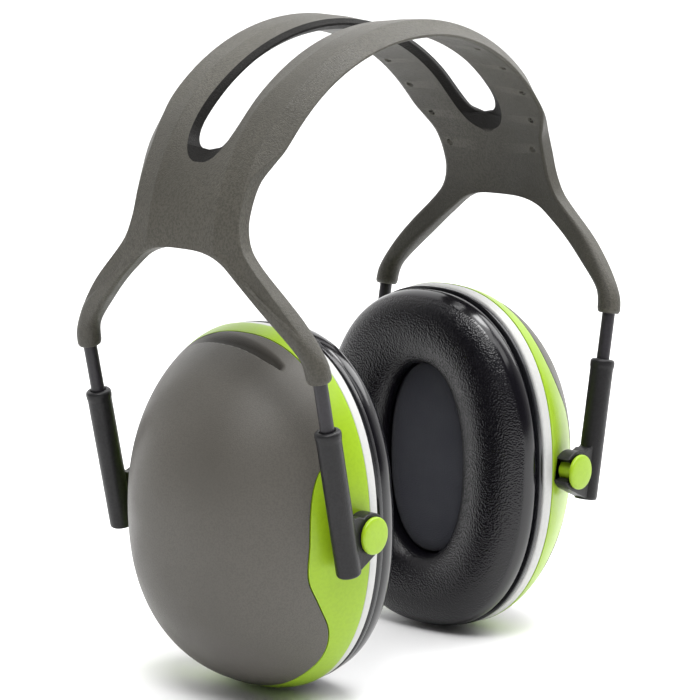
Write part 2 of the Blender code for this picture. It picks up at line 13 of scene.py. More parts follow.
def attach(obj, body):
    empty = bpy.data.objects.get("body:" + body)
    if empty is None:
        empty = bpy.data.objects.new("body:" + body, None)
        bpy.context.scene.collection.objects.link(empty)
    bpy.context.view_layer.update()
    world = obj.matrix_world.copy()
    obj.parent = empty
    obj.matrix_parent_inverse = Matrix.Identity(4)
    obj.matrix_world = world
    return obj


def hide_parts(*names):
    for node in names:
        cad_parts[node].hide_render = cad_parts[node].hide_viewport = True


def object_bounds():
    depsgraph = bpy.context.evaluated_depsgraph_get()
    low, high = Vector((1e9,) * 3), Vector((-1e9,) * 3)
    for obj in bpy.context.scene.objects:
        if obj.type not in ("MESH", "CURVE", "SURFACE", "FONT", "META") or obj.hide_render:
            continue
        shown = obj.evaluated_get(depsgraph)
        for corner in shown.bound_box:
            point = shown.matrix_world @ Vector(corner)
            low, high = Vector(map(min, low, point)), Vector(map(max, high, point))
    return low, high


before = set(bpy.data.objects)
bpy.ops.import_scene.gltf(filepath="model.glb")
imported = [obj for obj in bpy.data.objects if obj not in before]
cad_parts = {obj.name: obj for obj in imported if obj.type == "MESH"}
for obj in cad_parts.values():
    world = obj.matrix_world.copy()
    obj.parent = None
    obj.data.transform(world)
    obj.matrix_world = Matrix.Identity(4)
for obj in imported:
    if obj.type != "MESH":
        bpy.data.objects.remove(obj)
CAD_BOX = [list(corner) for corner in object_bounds()]

MM = 0.001
SIDES = {"left": 1, "right": -1}
ENDS = {"front": -1, "rear": 1}

# The band in side view: a quarter ellipse over the crown, then a straight run along the wire.
SPINE_HALF_SPAN = 68.8 * MM
SPINE_HEIGHT = 59.0 * MM
SPINE_DEPTH = 2.4 * MM
WIRE_LEAN = math.radians(11.5)
LEG_END_Z = -83.8 * MM

# The band in plan, by distance in millimetres along the spine from the crown.
HALF_WIDTH = [(0, 27.0), (24, 26.0), (42, 25.4), (58, 24.9), (66, 24.2), (71, 22.2), (76, 20.0),
              (84, 19.2), (90, 19.6), (96, 22.2), (108, 34.2), (118, 42.1), (123, 44.9), (130, 45.65)]
LEG_WIDTH = [(90, 11.0), (108, 9.0), (118, 7.1), (124, 6.6), (130, 6.6)]
SLOT_HOLE = (7.1 * MM, 58.0 * MM, 68.9 * MM)     # half width, start and end of the rounded end
SLOT_RIM = (8.3 * MM, 55.0 * MM, 73.7 * MM)      # the same for its outline on the outer surface
SLOT_UNDER_RIM = (9.2 * MM, 57.0 * MM, 74.3 * MM)     # and on the underside
SLOT_SQUARENESS = 2.5
CROTCH = 96.1 * MM
CROTCH_LENGTH = 5.0 * MM
CROTCH_SQUARENESS = 3.0
ROD_START = 94.0 * MM
ROD_FULL = 116.0 * MM
LEG_RADIUS = 3.3 * MM
LEG_COLLAR = 0.03
LEG_ROUNDING = 1.4 * MM

# Heights of the band's outer surface over the spine, by the same distance. Two creases run along
# each bar: an inner one beside the slot, and an outer one where the wing slopes down to its edge.
OUTER_CREASE = [(0, 21.0), (54, 21.0), (62, 20.0), (70, 19.0), (84, 18.8), (90, 19.1), (96, 20.8)]
INNER_CREASE = [(0, 14.5), (43, 14.0), (54, 12.6), (63, 12.1), (90, 11.9), (96, 12.2)]
INNER_CREASE_RISE = [(0, 2.0), (24, 2.2), (43, 2.8), (54, 3.3), (90, 3.4), (100, 3.0)]
EDGE_RISE = [(0, -1.5), (40, -1.6), (58, -1.8), (66, -1.4), (71, 0.1), (76, 1.7), (88, 2.1), (116, 1.6)]
CENTRE_RISE = [(0, 1.1), (43, 0.95), (60, 0.9), (68, 1.6), (76, 2.5), (84, 2.9), (96, 3.0)]
OUTER_CREASE_RISE = 2.35 * MM
UNDERSIDE = -1.7 * MM
DIMPLES = [(30, 21.5), (44, 21.3), (57, 21.0), (69, 18.5), (80, 15.5)]     # distance, width
DIMPLE_RADIUS = 1.5 * MM
SOCKET_RADIUS = 2.1 * MM
SOCKET_DEPTH = 4.0 * MM

# Wires, sliders and pivots.
ARM_Y = 42.35 * MM
WIRE_RADIUS = 1.9 * MM
WIRE_IN_LEG = 26.0 * MM
WIRE_BOTTOM_Z = -121.8 * MM
SLIDER_TOP_Z = -97.0 * MM
SLIDER_BOTTOM_Z = -137.7 * MM
SLIDER_RADIUS = 3.4 * MM
SLIDER_LIP = 0.2 * MM
BORE_RADIUS = 2.2 * MM
PIVOT_Z = -127.8 * MM
PIVOT_FROM_WIRE = 8.7 * MM
HOOK_Y = (39.9 * MM, 44.6 * MM)
HOOK_RADIUS = 6.0 * MM
NECK_RADIUS = 3.0 * MM
HOOK_MOUTH = 4.6 * MM
STUD_HEAD_RADIUS = 5.1 * MM
STUD_HEAD_Y = (44.9 * MM, 46.3 * MM)
STUD_ROOT_RADIUS = 2.4 * MM
STUD_ROOT_Y = 33.0 * MM
STUD_SHOULDER_Y = 39.4 * MM

# Ear cups. "Out" is the distance outwards from the pivot axis, along the cup's own axis.
CUP_LEAN = math.radians(0.7)
CUP_HALF_WIDTH = 39.6 * MM
CUP_HALF_HEIGHT = 51.4 * MM
CUP_SQUARENESS = 2.26
SHELL_RIM_OUT = -5.2 * MM
DOME_DEPTH = 35.3 * MM
DOME_SHARE_POWER = 2.44
DOME_RISE_POWER = 1.45
DOME_DROOP = 1.6 * MM
COVER_THICKNESS = 2.0 * MM
SHELL_THICKNESS = 2.4 * MM
COVER_EDGE = [(-58, 3.2), (-44, 3.0), (-36, 2.2), (-28, 4.0), (-20, 8.4), (-12, 12.1), (-2, 12.1),
              (8, 11.4), (15, 9.4), (22, 5.0), (32, 1.2), (44, 0.2), (58, 0.0)]   # height, out
RING_BACK_OUT = -8.9 * MM
PLATE_BACK_OUT = -11.2 * MM
CUSHION_BACK_OUT = -11.5 * MM
CUSHION_FACE_OUT = -22.2 * MM
OPENING_HALF_WIDTH = 15.2 * MM
OPENING_HALF_HEIGHT = 29.0 * MM
LINER_FACE_OUT = -13.6 * MM
CUSHION_STEPS = 96
SWELL_CAP = 0.5 * MM           # how far the leatherette may swell from its cut shape
SWELL_PRESSURE = 400
SWELL_MASS = 0.01
SWELL_FRAMES = 20
HELD_DEPTH = 1.1 * MM          # of the cushion's foot that stays on the plate

# The finger groove near the top of a cover: the out of its two edges, by distance forwards.
GROOVE_LOW_EDGE = [(-19, 5.5), (-16.6, 5.7), (-13.1, 6.1), (-7.5, 5.9), (-1.6, 5.4), (3.5, 5.0),
                   (9, 4.3), (14, 3.6), (20, 2.8)]
GROOVE_TOP_EDGE = [(-19, 4.6), (-16.6, 4.5), (-14.2, 4.3), (-8.9, 4.1), (-2, 3.7), (5.1, 3.3),
                   (9.3, 2.8), (14, 2.3), (20, 1.6)]


# ---------------------------------------------------------------- curves and interpolation

def eased(table, x):
    """Smooth curve through a table of (x, y) pairs, flat beyond its ends."""
    if x <= table[0][0]:
        return table[0][1]
    for (x0, y0), (x1, y1) in zip(table, table[1:]):
        if x <= x1:
            i = table.index((x0, y0))
            before = table[max(i - 1, 0)]
            after = table[min(i + 2, len(table) - 1)]
            slope0 = (y1 - before[1]) / (x1 - before[0])
            slope1 = (after[1] - y0) / (after[0] - x0)
            span = x1 - x0
            t = (x - x0) / span
            return ((2 * t ** 3 - 3 * t ** 2 + 1) * y0 + (t ** 3 - 2 * t ** 2 + t) * span * slope0
                    + (3 * t ** 2 - 2 * t ** 3) * y1 + (t ** 3 - t ** 2) * span * slope1)
    return table[-1][1]


def smoothstep(low, high, x):
    t = min(max((x - low) / (high - low), 0.0), 1.0)
    return t * t * (3 - 2 * t)


def mix(a, b, share):
    return a + (b - a) * share


def spine_samples():
    """Points (distance, x, z) down the +X side of the band, close enough to read straight between."""
    centre_z = SPINE_DEPTH - SPINE_HEIGHT
    slope = math.tan(WIRE_LEAN)
    last_angle = math.pi / 2 + math.atan(slope * SPINE_HEIGHT / SPINE_HALF_SPAN)
    count = 400
    points = [(SPINE_HALF_SPAN * math.sin(last_angle * i / count),
               centre_z + SPINE_HEIGHT * math.cos(last_angle * i / count)) for i in range(count + 1)]
    x, z = points[-1]
    points.append((x - slope * (z - WIRE_BOTTOM_Z), WIRE_BOTTOM_Z))
    samples = [(0.0, *points[0])]
    for (x0, z0), (x1, z1) in zip(points, points[1:]):
        samples.append((samples[-1][0] + math.hypot(x1 - x0, z1 - z0), x1, z1))
    return samples


SPINE = spine_samples()


def spine_point(distance):
    """Point and outward direction of the spine at a distance from the crown, as (x, z) pairs."""
    for i, ((d0, x0, z0), (d1, x1, z1)) in enumerate(zip(SPINE, SPINE[1:])):
        if distance <= d1:
            break
    length = d1 - d0
    t = (distance - d0) / length
    along = ((x1 - x0) / length, (z1 - z0) / length)
    if i + 2 < len(SPINE):
        # The direction turns evenly between samples.
        d2, x2, z2 = SPINE[i + 2]
        ahead = ((x2 - x1) / (d2 - d1), (z2 - z1) / (d2 - d1))
        along = (mix(along[0], ahead[0], max(t, 0.0)), mix(along[1], ahead[1], max(t, 0.0)))
    size = math.hypot(*along)
    return (x0 + t * (x1 - x0), z0 + t * (z1 - z0)), (-along[1] / size, along[0] / size)


def spine_distance_at(z):
    """Distance along the spine's straight end at a height."""
    d1, _, z1 = SPINE[-1]
    return d1 - (z - z1) / math.cos(WIRE_LEAN)


def wire_x(z):
    (x, _), _ = spine_point(spine_distance_at(z))
    return x


PIVOT_FOOT_Z = PIVOT_Z - PIVOT_FROM_WIRE * math.sin(WIRE_LEAN)
PIVOT_X = wire_x(PIVOT_FOOT_Z) - PIVOT_FROM_WIRE * math.cos(WIRE_LEAN)


# ---------------------------------------------------------------- meshes

def piece(name, bm, material, angle=40):
    """A smooth shaded object from a bmesh, with its faces pointing out."""
    bmesh.ops.recalc_face_normals(bm, faces=bm.faces)
    mesh = bpy.data.meshes.new(name)
    bm.to_mesh(mesh)
    bm.free()
    mesh.shade_smooth()
    mesh.set_sharp_from_angle(angle=math.radians(angle))
    mesh.materials.append(material)
    made = bpy.data.objects.new(name, mesh)
    bpy.context.scene.collection.objects.link(made)
    return made


def finish_piece(made, body, nodes):
    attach(made, body)
    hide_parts(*nodes)
    return made


def applied(made):
    """Replaces an object's mesh by its evaluated one and drops its modifiers."""
    graph = bpy.context.evaluated_depsgraph_get()
    mesh = bpy.data.meshes.new_from_object(made.evaluated_get(graph))
    made.modifiers.clear()
    made.data = mesh
    return made


def even_normals(made):
    step = made.modifiers.new("even_normals", "WEIGHTED_NORMAL")
    step.keep_sharp = True
    step.weight = 60
    return applied(made)


def loft(bm, rings, closed_profile=False, cap_start=False, cap_end=False):
    """Quads between rings of the same count. A closed profile joins the last ring to the first."""
    rows = [[bm.verts.new(p) for p in ring] for ring in rings]
    pairs = list(zip(rows, rows[1:]))
    if closed_profile:
        pairs.append((rows[-1], rows[0]))
    for low, high in pairs:
        for i in range(len(low)):
            j = (i + 1) % len(low)
            bm.faces.new((low[i], low[j], high[j], high[i]))
    if cap_start:
        bm.faces.new(rows[0][::-1])
    if cap_end:
        bm.faces.new(rows[-1])
    return rows


def lathe(bm, profile, count, axis):
    """Turns a (radius, height) profile about "Y" or "Z". A zero radius closes to a point."""
    rows = []
    for radius, height in profile:
        if radius == 0.0:
            rows.append([bm.verts.new((0, height, 0) if axis == "Y" else (0, 0, height))])
            continue
        row = []
        for i in range(count):
            a, b = radius * math.cos(math.tau * i / count), radius * math.sin(math.tau * i / count)
            row.append(bm.verts.new((a, height, b) if axis == "Y" else (a, b, height)))
        rows.append(row)
    for low, high in zip(rows, rows[1:]):
        for i in range(count):
            j = (i + 1) % count
            corners = [low[i % len(low)], low[j % len(low)], high[j % len(high)], high[i % len(high)]]
            unique = list(dict.fromkeys(corners))
            if len(unique) > 2:
                bm.faces.new(unique)


def rounded(corners, radii, steps=4, closed=True):
    """A polygon's points with each corner turned into an arc of steps + 1 points."""
    count = len(corners)
    points = []
    for i, (corner, radius) in enumerate(zip(corners, radii)):
        here = Vector(corner)
        before = Vector(corners[(i - 1) % count]) - here
        after = Vector(corners[(i + 1) % count]) - here
        if radius <= 0 or before.length < 1e-9 or after.length < 1e-9 or not closed and i in (0, count - 1):
            points += [here.copy() for _ in range(steps + 1)]
            continue
        angle = before.angle(after)
        reach = min(radius / max(math.tan(angle / 2), 1e-6), before.length * 0.48, after.length * 0.48)
        start, end = here + before.normalized() * reach, here + after.normalized() * reach
        for k in range(steps + 1):
            t = k / steps
            points.append(start * (1 - t) ** 2 + here * 2 * t * (1 - t) + end * t ** 2)
    return points


# ---------------------------------------------------------------- materials

def nodes_of(name, colour, roughness, **sockets):
    """A Principled material. Returns it with its node tree and shader."""
    made = bpy.data.materials.new(name)
    made.use_nodes = True
    tree = made.node_tree
    shader = tree.nodes["Principled BSDF"]
    shader.inputs["Base Color"].default_value = (*colour, 1)
    shader.inputs["Roughness"].default_value = roughness
    for socket, value in sockets.items():
        shader.inputs[socket.replace("_", " ").title().replace("Ior", "IOR")].default_value = value
    return made, tree, shader


def texture(tree, kind, scale, detail=2.0, stretch=(1, 1, 1)):
    """A noise or Voronoi texture in object space; scale is in features per metre."""
    place = tree.nodes.new("ShaderNodeTexCoord")
    mapping = tree.nodes.new("ShaderNodeMapping")
    mapping.inputs["Scale"].default_value = stretch
    tree.links.new(place.outputs["Object"], mapping.inputs["Vector"])
    if kind == "noise":
        made = tree.nodes.new("ShaderNodeTexNoise")
        made.inputs["Detail"].default_value = detail
    else:
        made = tree.nodes.new("ShaderNodeTexVoronoi")
        made.feature = kind
    made.inputs["Scale"].default_value = scale
    tree.links.new(mapping.outputs["Vector"], made.inputs["Vector"])
    return made


def ramp(tree, source, low, high, low_value, high_value):
    """Maps a value to a range, smoothly and clamped."""
    made = tree.nodes.new("ShaderNodeMapRange")
    made.interpolation_type = "SMOOTHSTEP"
    for socket, value in (("From Min", low), ("From Max", high),
                          ("To Min", low_value), ("To Max", high_value)):
        made.inputs[socket].default_value = value
    tree.links.new(source, made.inputs["Value"])
    return made.outputs["Result"]


def blend_colour(tree, factor, first, second):
    made = tree.nodes.new("ShaderNodeMix")
    made.data_type = "RGBA"
    colour_a, colour_b = [s for s in made.inputs if s.type == "RGBA"]
    for socket, value in ((colour_a, first), (colour_b, second)):
        if isinstance(value, tuple):
            socket.default_value = (*value, 1)
        else:
            tree.links.new(value, socket)
    tree.links.new(factor, made.inputs["Factor"])
    return [s for s in made.outputs if s.type == "RGBA"][0]


def bump(tree, shader, height, strength, distance, below=None):
    made = tree.nodes.new("ShaderNodeBump")
    made.inputs["Strength"].default_value = strength
    made.inputs["Distance"].default_value = distance
    tree.links.new(height, made.inputs["Height"])
    if below:
        tree.links.new(below.outputs["Normal"], made.inputs["Normal"])
    tree.links.new(made.outputs["Normal"], shader.inputs["Normal"])
    return made


def attribute(tree, name):
    made = tree.nodes.new("ShaderNodeAttribute")
    made.attribute_name = name
    return made.outputs["Fac"]


def moulded(name, colour, roughness, grain, grain_depth, variation=0.12, painted_shade=None, **sockets):
    """Moulded plastic: fine spark-eroded grain, faint flow marks and slightly uneven gloss, with optional
    painted shade.
    """
    made, tree, shader = nodes_of(name, colour, roughness, **sockets)
    broad = texture(tree, "noise", 28.0, 3.0)
    darker = tuple(c * (1 - variation) for c in colour)
    lighter = tuple(c * (1 + variation) for c in colour)
    base = blend_colour(tree, ramp(tree, broad.outputs["Fac"], 0.35, 0.65, 0, 1), darker, lighter)
    speck = texture(tree, "noise", grain * 0.6, 2.0)
    dusty = tuple(c * (1 - 2.5 * variation) for c in colour)
    base = blend_colour(tree, ramp(tree, speck.outputs["Fac"], 0.42, 0.62, 0, 0.8), base, dusty)
    # Painted shade: where the shade attribute is 1 the colour turns to the shade colour and reflections dim,
    # standing in for shade in recesses and on undersides.
    if painted_shade:
        painted_shade_mask = attribute(tree, "painted_shade")
        base = blend_colour(tree, painted_shade_mask, base, painted_shade)
        level = shader.inputs["Specular IOR Level"].default_value
        tree.links.new(ramp(tree, painted_shade_mask, 0, 1, level, level * 0.3), shader.inputs["Specular IOR Level"])
    tree.links.new(base, shader.inputs["Base Color"])
    patchy = texture(tree, "noise", 60.0, 4.0)
    tree.links.new(ramp(tree, patchy.outputs["Fac"], 0.3, 0.7, roughness - 0.05, roughness + 0.06),
                   shader.inputs["Roughness"])
    fine = texture(tree, "noise", grain, 3.0)
    bump(tree, shader, fine.outputs["Fac"], 1.0, grain_depth)
    return made


def leather(name):
    """Black leatherette: pebbled grain on the face, smooth and glossy where "grain" is 0."""
    made, tree, shader = nodes_of(name, (0.005, 0.005, 0.007), 0.36)
    where = attribute(tree, "grain")
    pebble = texture(tree, "SMOOTH_F1", 1900.0)
    pebble.inputs["Smoothness"].default_value = 0.3
    fine = texture(tree, "noise", 2600.0, 2.0)
    sizes = tree.nodes.new("ShaderNodeMath")
    sizes.operation = "MULTIPLY_ADD"
    tree.links.new(fine.outputs["Fac"], sizes.inputs[0])
    sizes.inputs[1].default_value = 0.35
    tree.links.new(pebble.outputs["Distance"], sizes.inputs[2])
    masked = tree.nodes.new("ShaderNodeMath")
    masked.operation = "MULTIPLY"
    tree.links.new(sizes.outputs[0], masked.inputs[0])
    tree.links.new(where, masked.inputs[1])
    bump(tree, shader, masked.outputs[0], 1.0, 0.00014)
    tree.links.new(ramp(tree, where, 0.0, 1.0, 0.16, 0.26), shader.inputs["Roughness"])
    tree.links.new(ramp(tree, where, 0.0, 1.0, 0.50, 0.37), shader.inputs["Specular IOR Level"])
    tint = texture(tree, "noise", 45.0, 3.0)
    tree.links.new(blend_colour(tree, tint.outputs["Fac"], (0.0015, 0.0013, 0.0025), (0.004, 0.0035, 0.0055)),
                   shader.inputs["Base Color"])
    return made


def foam_material(name):
    made, tree, shader = nodes_of(name, (0.016, 0.017, 0.026), 0.85, sheen_weight=0.15)
    cells = texture(tree, "F1", 2600.0)
    tint = texture(tree, "noise", 90.0, 3.0)
    base = blend_colour(tree, tint.outputs["Fac"], (0.014, 0.015, 0.023), (0.020, 0.021, 0.031))
    tree.links.new(blend_colour(tree, ramp(tree, cells.outputs["Distance"], 0.2, 0.7, 0.5, 0),
                                base, (0.010, 0.011, 0.017)), shader.inputs["Base Color"])
    tree.links.new(ramp(tree, tint.outputs["Fac"], 0.3, 0.7, 0.80, 0.92), shader.inputs["Roughness"])
    bump(tree, shader, cells.outputs["Distance"], 0.6, 0.00012)
    return made


# The band's shade colour is painted shade for its slot walls and its underside.
BAND = moulded("band_plastic", (0.060, 0.056, 0.045), 0.50, 2400.0, 0.00020, painted_shade=(0.006, 0.0055, 0.005),
               specular_ior_level=0.32)
WIRE = moulded("wire_coating", (0.018, 0.016, 0.020), 0.42, 1800.0, 0.00005, specular_ior_level=0.35)
SLIDER = moulded("slider_plastic", (0.012, 0.0115, 0.0125), 0.40, 2200.0, 0.00006,
                 specular_ior_level=0.26)
# The cover's shade colour is painted shade for its finger groove and the ledge near its foot.
COVER = moulded("cover_plastic", (0.079, 0.073, 0.063), 0.46, 3600.0, 0.00007, variation=0.06,
                painted_shade=(0.030, 0.027, 0.023), specular_ior_level=0.38)
LIME = moulded("lime_plastic", (0.265, 0.420, 0.010), 0.34, 1600.0, 0.00003, variation=0.02,
               specular_ior_level=0.4)
WHITE = moulded("white_plastic", (0.48, 0.48, 0.47), 0.42, 1600.0, 0.00003, variation=0.015)
GLOSS_BLACK = moulded("plate_plastic", (0.010, 0.010, 0.012), 0.20, 900.0, 0.00002)
LEATHER = leather("leatherette")
FOAM = foam_material("liner_foam")


# ---------------------------------------------------------------- headband

def half_width(distance):
    return eased(HALF_WIDTH, distance / MM) * MM


def leg_inner(distance):
    return half_width(distance) - eased(LEG_WIDTH, distance / MM) * MM


def rounded_end(shape, distance):
    """Half width of the slot or its chamfer at a distance, zero past its end."""
    half, start, end = shape
    if distance >= end:
        return 0.0
    t = max(distance - start, 0.0) / (end - start)
    return half * (1 - t ** SLOT_SQUARENESS) ** (1 / SLOT_SQUARENESS)


def end_stations(shape, count):
    """Distances that divide a rounded end evenly along its line."""
    _, start, end = shape
    places = []
    for i in range(1, count + 1):
        places.append(start + (end - start) * math.sin(math.pi / 2 * i / count) ** (2 / SLOT_SQUARENESS))
    return places


def inner_edge(distance):
    if distance < SLOT_HOLE[2]:
        return rounded_end(SLOT_HOLE, distance)
    if distance <= CROTCH:
        return 0.0
    t = min((distance - CROTCH) / CROTCH_LENGTH, 1.0)
    power = CROTCH_SQUARENESS
    return leg_inner(distance) * (1 - (1 - t) ** power) ** (1 / power)


def band_stations():
    """Distances at which the band's section is drawn, close together at the slot end and crotch."""
    places = [SLOT_HOLE[1] * i / 30 for i in range(31)]
    places += end_stations(SLOT_HOLE, 10)
    places += [p for p in end_stations(SLOT_RIM, 9) if abs(p - SLOT_HOLE[2]) > 0.15 * MM]
    last = SLOT_RIM[2]
    panel_end = CROTCH - 0.9 * MM
    places += [last + 0.25 * MM] + [last + (panel_end - last) * i / 12 for i in range(1, 13)]
    for i in range(13):
        q = math.sin(math.pi / 2 * i / 12)
        t = 1 - (1 - q ** CROTCH_SQUARENESS) ** (1 / CROTCH_SQUARENESS)
        places.append(CROTCH + CROTCH_LENGTH * t)
    leg_start = CROTCH + CROTCH_LENGTH
    leg_end = spine_distance_at(LEG_END_Z) - LEG_ROUNDING
    places += [leg_start + (leg_end - leg_start) * i / 34 for i in range(1, 35)]
    return sorted(places)


def edge_direction(places, i):
    """Direction from the inner edge into the plastic, in the plane of distance and width."""
    here = places[i]
    if SLOT_HOLE[2] < here < CROTCH:
        return 0.0, 1.0
    before = places[i - 1] if i and not SLOT_HOLE[2] <= places[i - 1] < CROTCH else here
    after = places[min(i + 1, len(places) - 1)]
    if SLOT_HOLE[2] < after < CROTCH:
        after = here
    if abs(here - SLOT_HOLE[2]) < 1e-7:
        return 1.0, 0.0
    if abs(here - CROTCH) < 1e-7:
        return -1.0, 0.0
    along = (after - before, inner_edge(after) - inner_edge(before))
    size = math.hypot(*along) or 1.0
    return -along[1] / size, along[0] / size


SECTION_ANGLES = [-165, -125, -65, -35, 15, 45, 85, 105, 125, 145, 168]


def panel_rise(distance, y, inner):
    """Height of the outer surface between the middle of the band and its inner crease."""
    centre, rise = (eased(table, distance / MM) * MM for table in (CENTRE_RISE, INNER_CREASE_RISE))
    return mix(centre, rise, min(y / inner, 1.0) ** 2)


def creases(distance):
    low, high = inner_edge(distance), half_width(distance)
    outer = min(eased(OUTER_CREASE, distance / MM) * MM, high - 0.4 * MM)
    inner = min(eased(INNER_CREASE, distance / MM) * MM, outer - 1.2 * MM)
    return max(inner, low + (outer - low) * 0.35), outer


def slot_line(shape, distance, inner):
    """Half width of a line round the slot. Past the slot's end it opens out again on the panel."""
    if distance < shape[2]:
        return rounded_end(shape, distance)
    return mix(0.1 * MM, inner * 0.35, smoothstep(shape[2], shape[2] + 7 * MM, distance))


def band_section(distance):
    """Corners of the band's flat section and their radii, as (width, out) pairs."""
    low, high = inner_edge(distance), half_width(distance)
    inner, outer = creases(distance)
    rim = max(slot_line(SLOT_RIM, distance, inner), low + 0.5 * MM)
    under = max(slot_line(SLOT_UNDER_RIM, distance, inner), low + 0.6 * MM)
    hole_lip, hole_foot = 0.1 * MM, -0.5 * MM
    if distance > CROTCH:
        hole_lip, hole_foot = panel_rise(distance, low, inner) - 0.6 * MM, UNDERSIDE + 0.5 * MM
        rim, under = low + 0.6 * MM, low + 0.6 * MM
    elif distance > SLOT_HOLE[2]:
        share = min((distance - SLOT_HOLE[2]) / (SLOT_RIM[2] - SLOT_HOLE[2]), 1.0)
        hole_lip = mix(hole_lip, panel_rise(distance, 0.0, inner), share)
        share = min((distance - SLOT_HOLE[2]) / (SLOT_UNDER_RIM[2] - SLOT_HOLE[2]), 1.0)
        hole_foot = mix(hole_foot, UNDERSIDE, share)
    near, far = mix(rim, inner, 0.35), mix(rim, inner, 0.7)
    on_panel = SLOT_HOLE[2] <= distance <= CROTCH
    edge = 0.0 if on_panel else 0.2 * MM
    corners = [(low, hole_foot), (under, UNDERSIDE), (high - MM, -2.4 * MM), (high, -2.1 * MM),
               (high, eased(EDGE_RISE, distance / MM) * MM), (outer, OUTER_CREASE_RISE),
               (inner, panel_rise(distance, inner, inner)), (far, panel_rise(distance, far, inner)),
               (near, panel_rise(distance, near, inner)), (rim, panel_rise(distance, rim, inner)),
               (low, hole_lip)]
    radii = [edge, 0.5 * MM, 0.6 * MM, 0.3 * MM, 0.3 * MM, 0.7 * MM, 2.4 * MM, 1.5 * MM, 1.5 * MM,
             0.3 * MM, edge]
    return corners, radii


def section_painted_shade(distance):
    """Painted shade for each point of a section: 1 on the slanted walls of the slot, the underside's share on
    the underside, 0 elsewhere.
    """
    rim, under = (1.0 if distance < shape[2] - 0.05 * MM else 0.0 for shape in (SLOT_RIM, SLOT_UNDER_RIM))
    shades = [0.0] * (len(SECTION_ANGLES) * (ARC_STEPS + 1))
    first, last = ARC_STEPS + 1, len(shades) - ARC_STEPS - 1
    for k in range(3 * (ARC_STEPS + 1)):
        shades[k] = UNDERSIDE_PAINTED_SHADE
    for k in range(first + 3):
        shades[k] = max(under, UNDERSIDE_PAINTED_SHADE)
    for k in range(last - 3, len(shades)):
        shades[k] = rim
    return shades


ARC_STEPS = 4
UNDERSIDE_PAINTED_SHADE = 0.3      # painted shade on the underside, where little light reaches


def section_angle(k):
    """Angle round the leg of point k of a section."""
    corner, step = divmod(k, ARC_STEPS + 1)
    count = len(SECTION_ANGLES)
    here = SECTION_ANGLES[corner]
    before = SECTION_ANGLES[corner - 1] - (360 if corner == 0 else 0)
    after = SECTION_ANGLES[(corner + 1) % count] + (360 if corner == count - 1 else 0)
    share = (step / ARC_STEPS - 0.5) * 0.8
    return math.radians(here + share * (after - here if share > 0 else here - before))


def rod_point(k, reach, thickness, squareness):
    """Point k of a leg's section, which turns from a rounded square to a circle down the leg."""
    a = section_angle(k)
    c, s = math.cos(a), math.sin(a)
    return (math.copysign(abs(c) ** (2 / squareness), c) * reach,
            math.copysign(abs(s) ** (2 / squareness), s) * thickness)


def band_ring(places, i):
    """The section at one station, bent so that its inner rounding follows the inner edge."""
    distance = places[i]
    low, high = inner_edge(distance), half_width(distance)
    corners, radii = band_section(distance)
    share = smoothstep(ROD_START, ROD_FULL, distance)
    swell = 1 + LEG_COLLAR * smoothstep(7 * MM, 3 * MM, spine_distance_at(LEG_END_Z) - distance)
    squareness = mix(3.4, 2.0, smoothstep(112 * MM, 122 * MM, distance))
    toward = edge_direction(places, i)
    centre, reach = (low + high) / 2, (high - low) / 2
    ring = []
    last_arc = len(corners) - 1
    for k, (y, out) in enumerate(rounded(corners, radii, ARC_STEPS)):
        along = distance
        if k // (ARC_STEPS + 1) in (0, last_arc) and radii[0] > 0:
            depth = y - low
            along, y = distance + depth * toward[0], low + depth * toward[1]
        rod = rod_point(k, reach * swell, LEG_RADIUS * swell, squareness)
        y, out = mix(y, centre + rod[0], share), mix(out, rod[1], share)
        (x, z), (nx, nz) = spine_point(along)
        ring.append(Vector((x + nx * out, y, z + nz * out)))
    return ring


def leg_end_rings():
    """The rounded end of a leg and the socket that its wire comes out of."""
    end = spine_distance_at(LEG_END_Z)
    count = len(SECTION_ANGLES) * (ARC_STEPS + 1)
    low, high = inner_edge(end), half_width(end)
    centre, reach = (low + high) / 2, (high - low) / 2 * (1 + LEG_COLLAR)
    profile = []
    for i in range(1, 7):
        turn = math.pi / 2 * i / 6
        profile.append((reach - LEG_ROUNDING * 0.6 * (1 - math.cos(turn)),
                        end - LEG_ROUNDING * (1 - math.sin(turn))))
    profile += [(SOCKET_RADIUS + 0.15 * MM, end), (SOCKET_RADIUS, end - 0.15 * MM),
                (SOCKET_RADIUS, end - SOCKET_DEPTH)]
    rings = []
    for radius, distance in profile:
        (x, z), (nx, nz) = spine_point(distance)
        ring = []
        for k in range(count):
            a = section_angle(k)
            out = radius * math.sin(a)
            ring.append(Vector((x + nx * out, centre + radius * math.cos(a), z + nz * out)))
        rings.append(ring)
    return rings


def quarter_band():
    """One quarter of the band, open on its two planes of symmetry."""
    places = band_stations()
    rings = [band_ring(places, i) for i in range(len(places))] + leg_end_rings()
    bm = bmesh.new()
    # Painted shade per vertex: darker slot walls and underside, read by the band's material.
    painted_shade = bm.verts.layers.float.new("painted_shade")
    rows = [[bm.verts.new(p) for p in ring] for ring in rings]
    for row, distance in zip(rows, places):
        for vert, value in zip(row, section_painted_shade(distance)):
            vert[painted_shade] = value
    for low, high in zip(rows, rows[1:]):
        for i in range(len(low)):
            j = (i + 1) % len(low)
            corners = (low[i], low[j], high[j], high[i])
            if all(abs(v.co.y) < 1e-6 for v in corners):
                continue
            bm.faces.new(corners)
    bm.faces.new(rows[-1])
    bmesh.ops.remove_doubles(bm, verts=bm.verts, dist=1e-6)
    bmesh.ops.dissolve_degenerate(bm, dist=1e-7, edges=bm.edges)
    loose = [v for v in bm.verts if not v.link_faces]
    bmesh.ops.delete(bm, geom=loose, context="VERTS")
    return bm


def painted_shade_attribute(made, function):
    """Stores a 0 to 1 value per vertex, read by the material as painted shade."""
    layer = made.data.attributes.new("painted_shade", "FLOAT", "POINT")
    for vert in made.data.vertices:
        layer.data[vert.index].value = function(vert.co)


